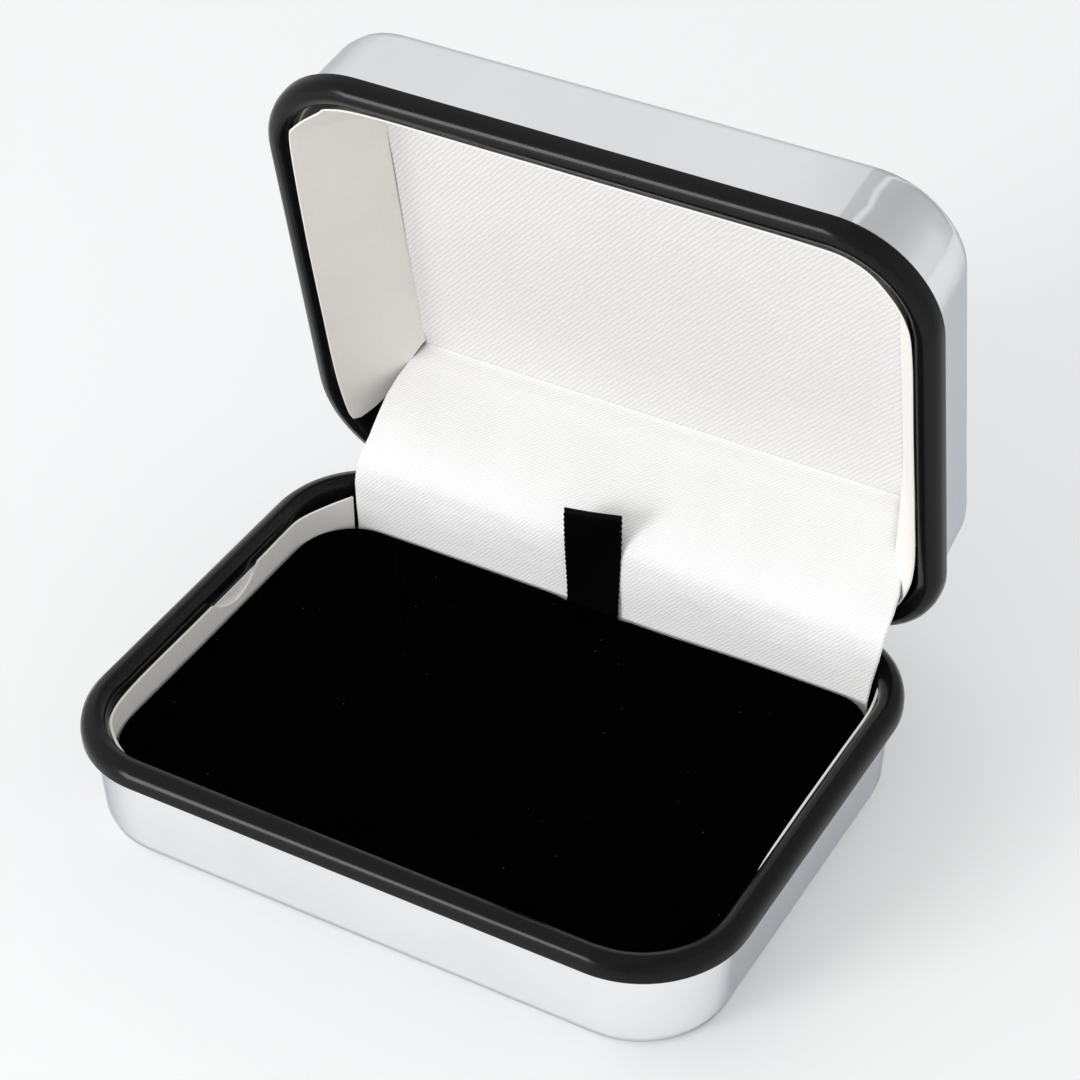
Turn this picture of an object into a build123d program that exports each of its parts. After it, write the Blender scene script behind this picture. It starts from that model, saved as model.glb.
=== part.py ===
from build123d import *
import math
import os

# Necklace gift box, made as it stands open for display.
# X runs along the length, Y towards the hinge, Z up, in millimetres.
# The origin is the centre of the base's bottom face.
#
# Both halves are made in the same way, in a half frame whose Z = 0 is the rim and whose
# -Z runs into the half. The base is then lifted to its height, and the lid is mirrored,
# set on the base with the parting gap, and swung open about the hinge pin.

# Whole box
LENGTH = 86.0
DEPTH = 64.8
BASE_HEIGHT = 15.2
LID_HEIGHT = 14.6
CORNER_RADIUS = 13.2
LID_OPEN_ANGLE = 79.0
PARTING_GAP = 0.2

# Black moulded frame on each rim: a round bead outside and a skirt inside the shell
BEAD_WIDTH = 3.1
BEAD_HEIGHT = 3.3
BEAD_OUTER_RADIUS = 1.64
BEAD_INNER_RADIUS = 1.25
BEAD_UNDER_CHAMFER = 0.8
SKIRT_WIDTH = 0.8
SKIRT_DEPTH = 7.5

# Drawn shell, with its top edge held in a groove of the frame
SHELL_INSET = 1.4
SHELL_WALL = 0.5
SHELL_EDGE_DEPTH = 2.0
SHELL_DRAFT = 3.0
SHELL_BOTTOM_RADIUS = 2.4
GROOVE_CLEARANCE = 0.06

# Flat bands that stand for a quarter round, in sight and hidden inside the shell
BAND_COUNT = 3
HIDDEN_BAND_COUNT = 1

# Card: thin strips on the walls and thicker boards on the floors
STRIP_THICKNESS = 0.3
STRIP_CLEARANCE = 0.05
OUTER_STRIP_TOP_DEPTH = 2.5
INNER_STRIP_TOP_DEPTH = 1.85
STRIP_FOOT_GAP = 0.6
BASE_BOARD_THICKNESS = 0.8
BOARD_EDGE_GAP = 0.3
LID_BOARD_THICKNESS = 1.3
NOTCH_WIDTH = 10.0
NOTCH_DEPTH = 2.4
NOTCH_Y = 4.0
REAR_CARD_MARGIN = 9.0

# Slanted strip in the lid
LID_STRIP_TOP_DEPTH = 1.1
LID_STRIP_CLEARANCE = 0.1
LID_STRIP_SLANT = 6.3
LID_STRIP_END_RIM = 3.4
LID_STRIP_END_FLOOR = 9.2

# Hinge: two stamped leaves with curled knuckles on one pin, in the room behind the satin
HINGE_ROOM = 4.35
HINGE_LENGTH = 40.0
HINGE_MIDDLE_KNUCKLE = 13.8
HINGE_KNUCKLE_GAP = 0.3
HINGE_FROM_BACK = 0.9
PIN_RADIUS = 0.6
PIN_CLEARANCE = 0.05
PIN_OVERHANG = 0.2
LEAF_THICKNESS = 0.5
LEAF_DEPTH = 7.3
LEAF_BEND_RADIUS = 0.6
NOTCH_END_GAP = 0.4
RUNNING_GAP = 0.3
CURL_GAP = 0.12
RIVET_RADIUS = 0.6
RIVET_CLEARANCE = 0.05
RIVET_HEAD_RADIUS = 1.2
RIVET_HEAD_HEIGHT = 0.45
RIVET_HEAD_TOP_RADIUS = 0.85
RIVET_SPACING = 13.0
RIVET_DEPTH = 4.6
SPRING_THICKNESS = 0.25
SPRING_WIDTH = 7.0
SPRING_END_DEPTH = 6.4
SPRING_BEND_RADIUS = 3.0

# Removable pad: board, foam and velvet cover, with a ribbon to lift it by
PAD_TOP_DEPTH = 5.0
PAD_SIDE_GAP = 0.4
PAD_REAR_GAP = 0.75
PAD_REAR_RADIUS = 3.5
PAD_EDGE_CHAMFER = 0.6
PAD_REST_GAP = 0.3
VELVET_THICKNESS = 0.8
INSERT_BOARD_THICKNESS = 1.0
SLIT_WIDTH = 0.4
SLIT_DEPTH = 3.0
SLIT_END_FROM_SIDE = 10.6
SLIT_END_FROM_REAR = 1.6
SLIT_RUN_X = 8.4
SLIT_RUN_Y = 11.8
RIBBON_WIDTH = 7.1
RIBBON_X = 0.0
RIBBON_THICKNESS = 0.18
RIBBON_HEIGHT = 15.1
RIBBON_LOOP_RADIUS = 0.65
RIBBON_LOOP_HEIGHT = 7.5
RIBBON_FOLD_RADIUS = 0.045
RIBBON_GAP = 0.05
RIBBON_TAIL = 8.0
TAPE_THICKNESS = 0.12
TAPE_LENGTH = 16.0
TAPE_WIDTH = 9.0

# White satin: a panel on the lid's board and a strip that bridges the hinge
SATIN_THICKNESS = 0.35
SATIN_CLEARANCE = 0.05
SATIN_LEFT_MARGIN = 8.3
SATIN_RIGHT_MARGIN = 5.8
SATIN_SHOULDER_MARGIN = 4.8
SATIN_CREASE_LEFT_MARGIN = 9.6
SATIN_CREASE_RIGHT_MARGIN = 10.4
SATIN_CREASE_FROM_WALL = 9.4
SATIN_CORNER_Z = 6.5
SATIN_CORNER_RADIUS = 5.0
SATIN_WIDEN_RUN = 2.0
SATIN_SHOULDER_RUN = 4.4
LID_SATIN_MARGIN = 8.7
LID_SATIN_FRONT_GAP = 3.4

# Worked out from the sizes above
HALF_LENGTH = LENGTH / 2
HALF_DEPTH = DEPTH / 2
INNER_WALL_Y = HALF_DEPTH - BEAD_WIDTH
STRAIGHT_END_Y = HALF_DEPTH - CORNER_RADIUS
HINGE_Y = HALF_DEPTH - HINGE_FROM_BACK
HINGE_Z = PARTING_GAP / 2
KNUCKLE_RADIUS = PIN_RADIUS + PIN_CLEARANCE + LEAF_THICKNESS
LEAF_UNDERSIDE = HINGE_Z - KNUCKLE_RADIUS
LEAF_TOPSIDE = LEAF_UNDERSIDE + LEAF_THICKNESS
LEAF_FRONT_Y = INNER_WALL_Y - LEAF_THICKNESS
SIDE_KNUCKLE_START = HINGE_MIDDLE_KNUCKLE / 2 + HINGE_KNUCKLE_GAP
DRAFT_SLOPE = math.tan(math.radians(SHELL_DRAFT))
BASE_FLOOR = SHELL_WALL - BASE_HEIGHT
LID_FLOOR = SHELL_WALL - LID_HEIGHT
BASE_BOARD_TOP = BASE_FLOOR + BASE_BOARD_THICKNESS
LID_BOARD_FACE = LID_FLOOR + LID_BOARD_THICKNESS
LID_SATIN_FACE = LID_BOARD_FACE + SATIN_THICKNESS
STRIP_INSET = BEAD_WIDTH + STRIP_CLEARANCE
INNER_STRIP_INSET = STRIP_INSET + STRIP_THICKNESS + STRIP_CLEARANCE
LID_STRIP_INSET = BEAD_WIDTH + LID_STRIP_CLEARANCE
PAD_INSET = INNER_STRIP_INSET + STRIP_THICKNESS + PAD_SIDE_GAP
SATIN_Y = INNER_WALL_Y - HINGE_ROOM
PAD_REAR_Y = SATIN_Y - PAD_REAR_GAP
PAD_JOIN_Y = PAD_REAR_Y - 2 * PAD_REAR_RADIUS
TAPE_BOTTOM = BASE_BOARD_TOP + PAD_REST_GAP
TAIL_BOTTOM = TAPE_BOTTOM + TAPE_THICKNESS
INSERT_BOTTOM = TAIL_BOTTOM + RIBBON_THICKNESS
BASE_STRIP_RIGHT_Y = SATIN_Y - RUNNING_GAP
BASE_STRIP_LEFT_X = SATIN_LEFT_MARGIN - HALF_LENGTH - RUNNING_GAP
SATIN_MIDDLE_Y = SATIN_Y + SATIN_THICKNESS / 2
OVERLAP = 1.0


def block(x_span, y_span, z_span):
    """Box between two limits on each axis."""
    sizes = [high - low for low, high in (x_span, y_span, z_span)]
    centre = [(high + low) / 2 for low, high in (x_span, y_span, z_span)]
    return Pos(*centre) * Box(*sizes)


def outline(inset):
    """Face with the frame's outer outline, moved inwards by an inset."""
    return RectangleRounded(LENGTH - 2 * inset, DEPTH - 2 * inset, CORNER_RADIUS - inset)


def outline_slab(inset, z_low, z_high):
    """Slab with the frame's outline, moved inwards by an inset."""
    return extrude(Plane.XY.offset(z_low) * outline(inset), amount=z_high - z_low)


def stacked(sections):
    """Solid through outlines at given insets and heights, straight from one to the next."""
    faces = [Plane.XY.offset(z) * outline(inset) for inset, z in sections]
    return loft(faces, ruled=True)


def quarter_round(radius, bands=BAND_COUNT, start_angle=0):
    """Steps inwards and upwards of a rounded edge, from its side to its top."""
    steps = []
    for band in range(bands + 1):
        angle = math.radians(start_angle + (90 - start_angle) * band / bands)
        steps.append((radius * (1 - math.cos(angle)), radius * math.sin(angle)))
    return steps


def outline_ring(inset, width, z_low, z_high):
    """Ring that follows the frame's outline, with cutting room above and below."""
    hole = outline_slab(inset + width, z_low - OVERLAP, z_high + OVERLAP)
    return outline_slab(inset, z_low, z_high) - hole


def rod_x(radius, x_low, x_high, y, z):
    """Round bar along X."""
    bar = Rot(0, 90, 0) * Cylinder(radius, x_high - x_low)
    return Pos((x_low + x_high) / 2, y, z) * bar


def rod_y(radius, y_low, y_high, x, z):
    """Round bar along Y."""
    bar = Rot(90, 0, 0) * Cylinder(radius, y_high - y_low)
    return Pos(x, (y_low + y_high) / 2, z) * bar


def in_base(shape):
    """Half frame to the finished base."""
    return Pos(0, 0, BASE_HEIGHT) * shape


def in_lid(shape):
    """Half frame to the finished lid: turned over, set on the base and swung open."""
    shut = Pos(0, 0, BASE_HEIGHT + PARTING_GAP) * mirror(shape, about=Plane.XY)
    to_pin = Pos(0, HINGE_Y, BASE_HEIGHT + HINGE_Z)
    return to_pin * Rot(-LID_OPEN_ANGLE, 0, 0) * to_pin.inverse() * shut


def drawn_form(inset, depth, radius, bands):
    """The outside or the inside of a drawing: drafted walls that round into a flat floor."""
    draft = math.radians(SHELL_DRAFT)
    flat_inset = inset + (depth - SHELL_EDGE_DEPTH) * math.tan(draft)
    flat_inset += radius * math.cos(draft) / (1 + math.sin(draft))
    sections = [(inset, -SHELL_EDGE_DEPTH)]
    for inwards, downwards in quarter_round(radius, bands, SHELL_DRAFT):
        sections.append((flat_inset - radius + inwards, radius - depth - downwards))
    return stacked(sections)


def drawn_shell(height):
    """Sheet metal tray with drafted walls."""
    outside = drawn_form(SHELL_INSET, height, SHELL_BOTTOM_RADIUS, BAND_COUNT)
    inner_inset = SHELL_INSET + SHELL_WALL
    inner_radius = SHELL_BOTTOM_RADIUS - SHELL_WALL
    return outside - drawn_form(inner_inset, height - SHELL_WALL, inner_radius, HIDDEN_BAND_COUNT)


def hinge_notch():
    """Room for the knuckles and seats for the leaf in the rear of a frame."""
    half = HINGE_LENGTH / 2 + NOTCH_END_GAP
    trough = rod_x(KNUCKLE_RADIUS + RUNNING_GAP, -half, half, HINGE_Y, HINGE_Z)
    seat_y = (INNER_WALL_Y - OVERLAP, HINGE_Y)
    seat = block((-half, half), seat_y, (LEAF_UNDERSIDE, OVERLAP))
    return trough + seat


def rivet_holes():
    """Holes through the leaf and the frame's skirt."""
    span = (LEAF_FRONT_Y - OVERLAP, INNER_WALL_Y + SKIRT_WIDTH + OVERLAP)
    radius = RIVET_RADIUS + RIVET_CLEARANCE
    holes = [rod_y(radius, *span, x, -RIVET_DEPTH) for x in (-RIVET_SPACING, 0, RIVET_SPACING)]
    return holes[0] + holes[1] + holes[2]


def frame_mouth(clearance, z_low):
    """Room inside a frame, less a clearance: upright, with a rounded edge at the rim."""
    wall = BEAD_WIDTH + clearance
    sections = [(wall, z_low)]
    for outwards, upwards in quarter_round(BEAD_INNER_RADIUS):
        sections.append((wall - outwards, upwards - BEAD_INNER_RADIUS))
    sections.append((wall - BEAD_INNER_RADIUS, OVERLAP))
    return stacked(sections)


def bezel():
    """Black frame: a rounded bead, a groove for the shell's edge and an inner skirt."""
    sections = [(BEAD_UNDER_CHAMFER, -BEAD_HEIGHT), (0, BEAD_UNDER_CHAMFER - BEAD_HEIGHT)]
    for inwards, upwards in quarter_round(BEAD_OUTER_RADIUS):
        sections.append((inwards, upwards - BEAD_OUTER_RADIUS))
    bead = stacked(sections)
    frame = bead + outline_slab(BEAD_WIDTH - SKIRT_WIDTH, -SKIRT_DEPTH, -BEAD_HEIGHT / 2)
    frame -= frame_mouth(0, -SKIRT_DEPTH - OVERLAP)
    edge_drift = (BEAD_HEIGHT - SHELL_EDGE_DEPTH) * DRAFT_SLOPE
    groove_width = SHELL_WALL + edge_drift + 2 * GROOVE_CLEARANCE
    groove_inset = SHELL_INSET - GROOVE_CLEARANCE
    frame -= outline_ring(groove_inset, groove_width, -BEAD_HEIGHT - OVERLAP, -SHELL_EDGE_DEPTH)
    return frame - hinge_notch() - rivet_holes()


def wall_strip(inset, foot, top_depth, left_end_x, end_y):
    """Upright card strip round the front and the sides.

    It ends at a Y, except that its left end may run on round the corner to an X.
    """
    ring = outline_ring(inset, STRIP_THICKNESS, foot, -top_depth)
    return ring - block((left_end_x, LENGTH), (end_y, DEPTH), (foot - OVERLAP, OVERLAP))


def thumb_notch():
    """Round-bottomed scoop in the left side of the inner strip's top edge."""
    radius = ((NOTCH_WIDTH / 2) ** 2 + NOTCH_DEPTH**2) / (2 * NOTCH_DEPTH)
    centre_z = -INNER_STRIP_TOP_DEPTH - NOTCH_DEPTH + radius
    reach = INNER_STRIP_INSET + STRIP_THICKNESS + OVERLAP
    return rod_x(radius, -HALF_LENGTH, -HALF_LENGTH + reach, NOTCH_Y, centre_z)


def base_board():
    """Board on the flat floor of the base's shell."""
    flat_inset = SHELL_INSET + SHELL_BOTTOM_RADIUS + (BASE_HEIGHT - SHELL_EDGE_DEPTH) * DRAFT_SLOPE
    return outline_slab(flat_inset + BOARD_EDGE_GAP, BASE_FLOOR, BASE_BOARD_TOP)


def lid_board():
    """Board on the flat floor of the lid's shell."""
    flat_inset = SHELL_INSET + SHELL_BOTTOM_RADIUS + (LID_HEIGHT - SHELL_EDGE_DEPTH) * DRAFT_SLOPE
    return outline_slab(flat_inset + BOARD_EDGE_GAP, LID_FLOOR, LID_BOARD_FACE)


def slanted_strip():
    """Card strip in the lid that leans inwards from the rim to the satin.

    It is bent round the front corners, and its sides stay flat to their ends.
    """
    foot = LID_SATIN_FACE + SATIN_CLEARANCE
    rim = -LID_STRIP_TOP_DEPTH

    def slanted_form(inset):
        return stacked([(inset + LID_STRIP_SLANT, foot), (inset, rim)])

    front = slanted_form(LID_STRIP_INSET) - slanted_form(LID_STRIP_INSET + STRIP_THICKNESS)
    front -= block((-LENGTH, LENGTH), (STRAIGHT_END_Y, DEPTH), (foot - OVERLAP, OVERLAP))
    rim_x = HALF_LENGTH - LID_STRIP_INSET
    section = Polyline(
        (rim_x, rim),
        (rim_x - STRIP_THICKNESS, rim),
        (rim_x - STRIP_THICKNESS - LID_STRIP_SLANT, foot),
        (rim_x - LID_STRIP_SLANT, foot),
        close=True,
    )
    start = Plane(origin=(0, STRAIGHT_END_Y, 0), x_dir=(-1, 0, 0), z_dir=(0, 1, 0))
    side = extrude(start * make_face(section), amount=INNER_WALL_Y - STRAIGHT_END_Y)
    side &= frame_mouth(STRIP_CLEARANCE, foot)
    rear_cut = Polyline(
        (INNER_WALL_Y - LID_STRIP_END_RIM, rim),
        (INNER_WALL_Y - LID_STRIP_END_RIM, OVERLAP),
        (DEPTH, OVERLAP),
        (DEPTH, foot),
        (INNER_WALL_Y - LID_STRIP_END_FLOOR, foot),
        close=True,
    )
    side -= extrude(Plane.YZ * make_face(rear_cut), amount=LENGTH, both=True)
    return front + side + mirror(side, about=Plane.YZ)


def hinge_leaf(knuckles):
    """Stamped leaf: a plate on the skirt, bent over the bead, with curled knuckles."""
    half = HINGE_LENGTH / 2
    plate = block((-half, half), (LEAF_FRONT_Y, INNER_WALL_Y), (-LEAF_DEPTH, LEAF_TOPSIDE))
    run_end = HINGE_Y - KNUCKLE_RADIUS - RUNNING_GAP
    plate += block((-half, half), (LEAF_FRONT_Y, run_end), (LEAF_UNDERSIDE, LEAF_TOPSIDE))
    bend = plate.edges().filter_by(Axis.X).group_by(Axis.Y)[0].group_by(Axis.Z)[-1]
    leaf = fillet(bend, LEAF_BEND_RADIUS)
    for x_low, x_high in knuckles:
        tongue_y = (run_end - OVERLAP, HINGE_Y)
        leaf += block((x_low, x_high), tongue_y, (LEAF_UNDERSIDE, LEAF_TOPSIDE))
        leaf += rod_x(KNUCKLE_RADIUS, x_low, x_high, HINGE_Y, HINGE_Z)
        curl_z = (LEAF_TOPSIDE, LEAF_TOPSIDE + CURL_GAP)
        leaf -= block((x_low, x_high), (run_end, HINGE_Y), curl_z)
    bore = PIN_RADIUS + PIN_CLEARANCE
    leaf -= rod_x(bore, -half - OVERLAP, half + OVERLAP, HINGE_Y, HINGE_Z)
    return leaf - rivet_holes()


def rivets():
    """Three rivets: two through the leaf, and one through the leaf and the spring."""
    group = []
    for x, packing in ((-RIVET_SPACING, 0), (0, SPRING_THICKNESS), (RIVET_SPACING, 0)):
        head_back = LEAF_FRONT_Y - packing
        shank = rod_y(RIVET_RADIUS, head_back, INNER_WALL_Y + SKIRT_WIDTH, x, -RIVET_DEPTH)
        cone = Rot(90, 0, 0) * Cone(RIVET_HEAD_RADIUS, RIVET_HEAD_TOP_RADIUS, RIVET_HEAD_HEIGHT)
        head = Pos(x, head_back - RIVET_HEAD_HEIGHT / 2, -RIVET_DEPTH) * cone
        group.append(head + shank)
    return group[0] + group[1] + group[2]


def hinge_spring():
    """Flat spring riveted to both leaves, bowed round the pin."""
    y = LEAF_FRONT_Y - SPRING_THICKNESS / 2
    fall = HINGE_Y - y
    swing = math.radians(LID_OPEN_ANGLE)
    corner_z = HINGE_Z + fall * math.tan(swing / 2)
    reach = SPRING_END_DEPTH + HINGE_Z
    lid_end_y = HINGE_Y - fall * math.cos(swing) + reach * math.sin(swing)
    lid_end_z = HINGE_Z + fall * math.sin(swing) + reach * math.cos(swing)
    points = [(y, -SPRING_END_DEPTH), (y, corner_z), (lid_end_y, lid_end_z)]
    path = Plane.YZ * FilletPolyline(*points, radius=SPRING_BEND_RADIUS)
    start = Plane(origin=(0, y, -SPRING_END_DEPTH), x_dir=(1, 0, 0), z_dir=(0, 0, 1))
    strip = sweep(start * Rectangle(SPRING_WIDTH, SPRING_THICKNESS), path=path)
    hole_y = (y - OVERLAP, y + OVERLAP)
    base_hole = rod_y(RIVET_RADIUS + RIVET_CLEARANCE, *hole_y, 0, -RIVET_DEPTH)
    lid_hole = in_lid(base_hole)
    return in_base(strip - base_hole) - lid_hole


def pad_slab(inset, rear_inset, z_low, z_high):
    """Slab with the pad's outline: it follows the strips, with a straight rear edge."""
    front = outline_slab(inset, z_low, z_high)
    front &= block((-LENGTH, LENGTH), (-DEPTH, PAD_JOIN_Y), (z_low, z_high))
    half = HALF_LENGTH - inset
    rear = block((-half, half), (PAD_JOIN_Y - OVERLAP, PAD_REAR_Y - rear_inset), (z_low, z_high))
    rear_corners = rear.edges().filter_by(Axis.Z).group_by(Axis.Y)[-1]
    return front + fillet(rear_corners, PAD_REAR_RADIUS - rear_inset)


def pad_slits():
    """Two slits in the pad's rear corners that hold the chain."""
    angle = math.degrees(math.atan2(SLIT_RUN_Y, SLIT_RUN_X))
    length = math.hypot(SLIT_RUN_X, SLIT_RUN_Y)
    from_centre = HALF_LENGTH - PAD_INSET - SLIT_END_FROM_SIDE - SLIT_RUN_X / 2
    y = PAD_REAR_Y - SLIT_END_FROM_REAR - SLIT_RUN_Y / 2
    z = -PAD_TOP_DEPTH - SLIT_DEPTH / 2 + OVERLAP / 2
    cuts = []
    for side in (-1, 1):
        blade = Rot(0, 0, side * angle) * Box(length, SLIT_WIDTH, SLIT_DEPTH + OVERLAP)
        cuts.append(Pos(side * from_centre, y, z) * blade)
    return cuts[0] + cuts[1]


def insert_board():
    """Board under the foam."""
    board_top = INSERT_BOTTOM + INSERT_BOARD_THICKNESS
    return pad_slab(PAD_INSET + VELVET_THICKNESS, VELVET_THICKNESS, INSERT_BOTTOM, board_top)


def insert_foam():
    """Foam block with the slits cut in it."""
    board_top = INSERT_BOTTOM + INSERT_BOARD_THICKNESS
    foam_top = -PAD_TOP_DEPTH - VELVET_THICKNESS
    foam = pad_slab(PAD_INSET + VELVET_THICKNESS, VELVET_THICKNESS, board_top, foam_top)
    return foam - pad_slits()


def insert_velvet():
    """Velvet cover, open below, with its top edge broken."""
    cover = pad_slab(PAD_INSET, 0, INSERT_BOTTOM, -PAD_TOP_DEPTH)
    cover = chamfer(cover.edges().group_by(Axis.Z)[-1], PAD_EDGE_CHAMFER)
    foam_top = -PAD_TOP_DEPTH - VELVET_THICKNESS
    core_bottom = INSERT_BOTTOM - OVERLAP
    core = pad_slab(PAD_INSET + VELVET_THICKNESS, VELVET_THICKNESS, core_bottom, foam_top)
    return cover - core - pad_slits()


def pull_ribbon():
    """Ribbon: tails under the board, a flat doubled stem and an open loop at the top."""
    x_span = (RIBBON_X - RIBBON_WIDTH / 2, RIBBON_X + RIBBON_WIDTH / 2)
    stem_front = PAD_REAR_Y + RIBBON_GAP
    stem_back = stem_front + 2 * RIBBON_THICKNESS
    top = -PAD_TOP_DEPTH + RIBBON_HEIGHT
    neck = top - RIBBON_LOOP_HEIGHT
    tail = block(x_span, (stem_front - RIBBON_TAIL, stem_back), (TAIL_BOTTOM, INSERT_BOTTOM))
    stem = block(x_span, (stem_front, stem_back), (TAIL_BOTTOM, neck))
    crown = Pos(stem_front + RIBBON_LOOP_RADIUS, top - RIBBON_LOOP_RADIUS) * Circle(RIBBON_LOOP_RADIUS)
    waist = Pos(stem_front + RIBBON_THICKNESS, neck) * Circle(RIBBON_THICKNESS)
    loop = make_hull(crown.edges() + waist.edges())
    hollow_radius = RIBBON_LOOP_RADIUS - RIBBON_THICKNESS
    hollow = Pos(stem_front + RIBBON_LOOP_RADIUS, top - RIBBON_LOOP_RADIUS) * Circle(hollow_radius)
    fold_z = neck + RIBBON_LOOP_RADIUS
    fold = Pos(stem_front + RIBBON_THICKNESS, fold_z) * Circle(RIBBON_FOLD_RADIUS)
    loop -= make_hull(hollow.edges() + fold.edges())
    band = extrude(Plane.YZ.offset(x_span[0]) * loop, amount=RIBBON_WIDTH)
    return band + stem + tail


def ribbon_tape():
    """Tape that holds the ribbon's tails to the board."""
    x_span = (RIBBON_X - TAPE_LENGTH / 2, RIBBON_X + TAPE_LENGTH / 2)
    y_high = PAD_REAR_Y - RIBBON_GAP - OVERLAP
    return block(x_span, (y_high - TAPE_WIDTH, y_high), (TAPE_BOTTOM, TAIL_BOTTOM))


def rear_card():
    """Upright card behind the satin."""
    half = HALF_LENGTH - REAR_CARD_MARGIN
    y_low = SATIN_Y + SATIN_THICKNESS + SATIN_CLEARANCE
    y_span = (y_low, y_low + STRIP_THICKNESS)
    return block((-half, half), y_span, (BASE_BOARD_TOP, -INNER_STRIP_TOP_DEPTH))


def lid_satin():
    """Satin panel on the lid's board, from the crease to behind the front strip."""
    half = HALF_LENGTH - LID_SATIN_MARGIN
    front = LID_SATIN_FRONT_GAP - INNER_WALL_Y
    crease = INNER_WALL_Y - SATIN_CREASE_FROM_WALL
    return block((-half, half), (front, crease), (LID_BOARD_FACE, LID_SATIN_FACE))


def opened(y, z_into_lid):
    """Where a point of the shut lid lies once the lid is open, in the base's half frame."""
    swing = math.radians(LID_OPEN_ANGLE)
    from_pin_y = y - HINGE_Y
    from_pin_z = z_into_lid + PARTING_GAP - HINGE_Z
    open_y = from_pin_y * math.cos(swing) + from_pin_z * math.sin(swing)
    open_z = from_pin_z * math.cos(swing) - from_pin_y * math.sin(swing)
    return HINGE_Y + open_y, HINGE_Z + open_z


def satin_bridge():
    """Satin strip up behind the pad, over the hinge and down to the crease in the lid."""
    crease_depth = -LID_SATIN_FACE - SATIN_CLEARANCE - SATIN_THICKNESS / 2
    crease_y, crease_z = opened(INNER_WALL_Y - SATIN_CREASE_FROM_WALL, crease_depth)
    foot_z = BASE_BOARD_TOP + SATIN_CLEARANCE
    corners = [(SATIN_MIDDLE_Y, foot_z), (SATIN_MIDDLE_Y, SATIN_CORNER_Z), (crease_y, crease_z)]
    path = Plane.YZ * FilletPolyline(*corners, radius=SATIN_CORNER_RADIUS)
    start = Plane(origin=(0, SATIN_MIDDLE_Y, foot_z), x_dir=(1, 0, 0), z_dir=(0, 0, 1))
    strip = sweep(start * Rectangle(LENGTH, SATIN_THICKNESS), path=path)
    behind_y = SATIN_Y + SATIN_THICKNESS
    shoulder_y = SATIN_Y + SATIN_SHOULDER_RUN
    right = HALF_LENGTH - SATIN_RIGHT_MARGIN
    shoulder_right = HALF_LENGTH - SATIN_SHOULDER_MARGIN
    left = SATIN_LEFT_MARGIN - HALF_LENGTH
    plan = Polyline(
        (left, 0),
        (right, 0),
        (right, behind_y),
        (shoulder_right, behind_y + SATIN_WIDEN_RUN),
        (shoulder_right, shoulder_y),
        (HALF_LENGTH - SATIN_CREASE_RIGHT_MARGIN, crease_y),
        (HALF_LENGTH - SATIN_CREASE_RIGHT_MARGIN, DEPTH),
        (SATIN_CREASE_LEFT_MARGIN - HALF_LENGTH, DEPTH),
        (SATIN_CREASE_LEFT_MARGIN - HALF_LENGTH, crease_y),
        (left, shoulder_y),
        close=True,
    )
    cutter = extrude(Plane.XY.offset(foot_z - OVERLAP) * make_face(plan), amount=DEPTH)
    return strip & cutter


def build_nodes():
    """Every node of the box, by name."""
    half_hinge = HINGE_LENGTH / 2
    side_knuckles = [(-half_hinge, -SIDE_KNUCKLE_START), (SIDE_KNUCKLE_START, half_hinge)]
    middle_knuckle = [(-HINGE_MIDDLE_KNUCKLE / 2, HINGE_MIDDLE_KNUCKLE / 2)]
    pin_half = half_hinge + PIN_OVERHANG
    base_foot = BASE_BOARD_TOP + STRIP_FOOT_GAP
    lid_foot = LID_BOARD_FACE + STRIP_FOOT_GAP
    outer_top = OUTER_STRIP_TOP_DEPTH
    inner_top = INNER_STRIP_TOP_DEPTH
    base_ends = (BASE_STRIP_LEFT_X, BASE_STRIP_RIGHT_Y)
    base_inner = wall_strip(INNER_STRIP_INSET, base_foot, inner_top, *base_ends)
    lid_ends = (-LENGTH, STRAIGHT_END_Y)
    nodes = {
        "base_shell": in_base(drawn_shell(BASE_HEIGHT)),
        "base_bezel": in_base(bezel()),
        "base_outer_liner": in_base(wall_strip(STRIP_INSET, base_foot, outer_top, *base_ends)),
        "base_inner_liner": in_base(base_inner - thumb_notch()),
        "base_floor_card": in_base(base_board()),
        "rear_liner_card": in_base(rear_card()),
        "hinge_base_leaf": in_base(hinge_leaf(side_knuckles)),
        "hinge_pin": in_base(rod_x(PIN_RADIUS, -pin_half, pin_half, HINGE_Y, HINGE_Z)),
        "base_leaf_rivets": in_base(rivets()),
        "hinge_spring": hinge_spring(),
        "satin_bridge": in_base(satin_bridge()),
        "insert_board": in_base(insert_board()),
        "insert_foam": in_base(insert_foam()),
        "insert_velvet": in_base(insert_velvet()),
        "pull_ribbon": in_base(pull_ribbon()),
        "ribbon_tape": in_base(ribbon_tape()),
        "lid_shell": in_lid(drawn_shell(LID_HEIGHT)),
        "lid_bezel": in_lid(bezel()),
        "lid_outer_liner": in_lid(wall_strip(STRIP_INSET, lid_foot, outer_top, *lid_ends)),
        "lid_inner_liner": in_lid(slanted_strip()),
        "lid_floor_card": in_lid(lid_board()),
        "lid_satin": in_lid(lid_satin()),
        "hinge_lid_leaf": in_lid(hinge_leaf(middle_knuckle)),
        "lid_leaf_rivets": in_lid(rivets()),
    }
    return nodes


os.makedirs("parts", exist_ok=True)
for node_name, node_shape in build_nodes().items():
    export_step(node_shape, f"parts/{node_name}.step")
    print(node_name, round(node_shape.volume, 2))
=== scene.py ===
import math

import bmesh
import bpy
import numpy as np
from mathutils import Matrix, Vector


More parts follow.
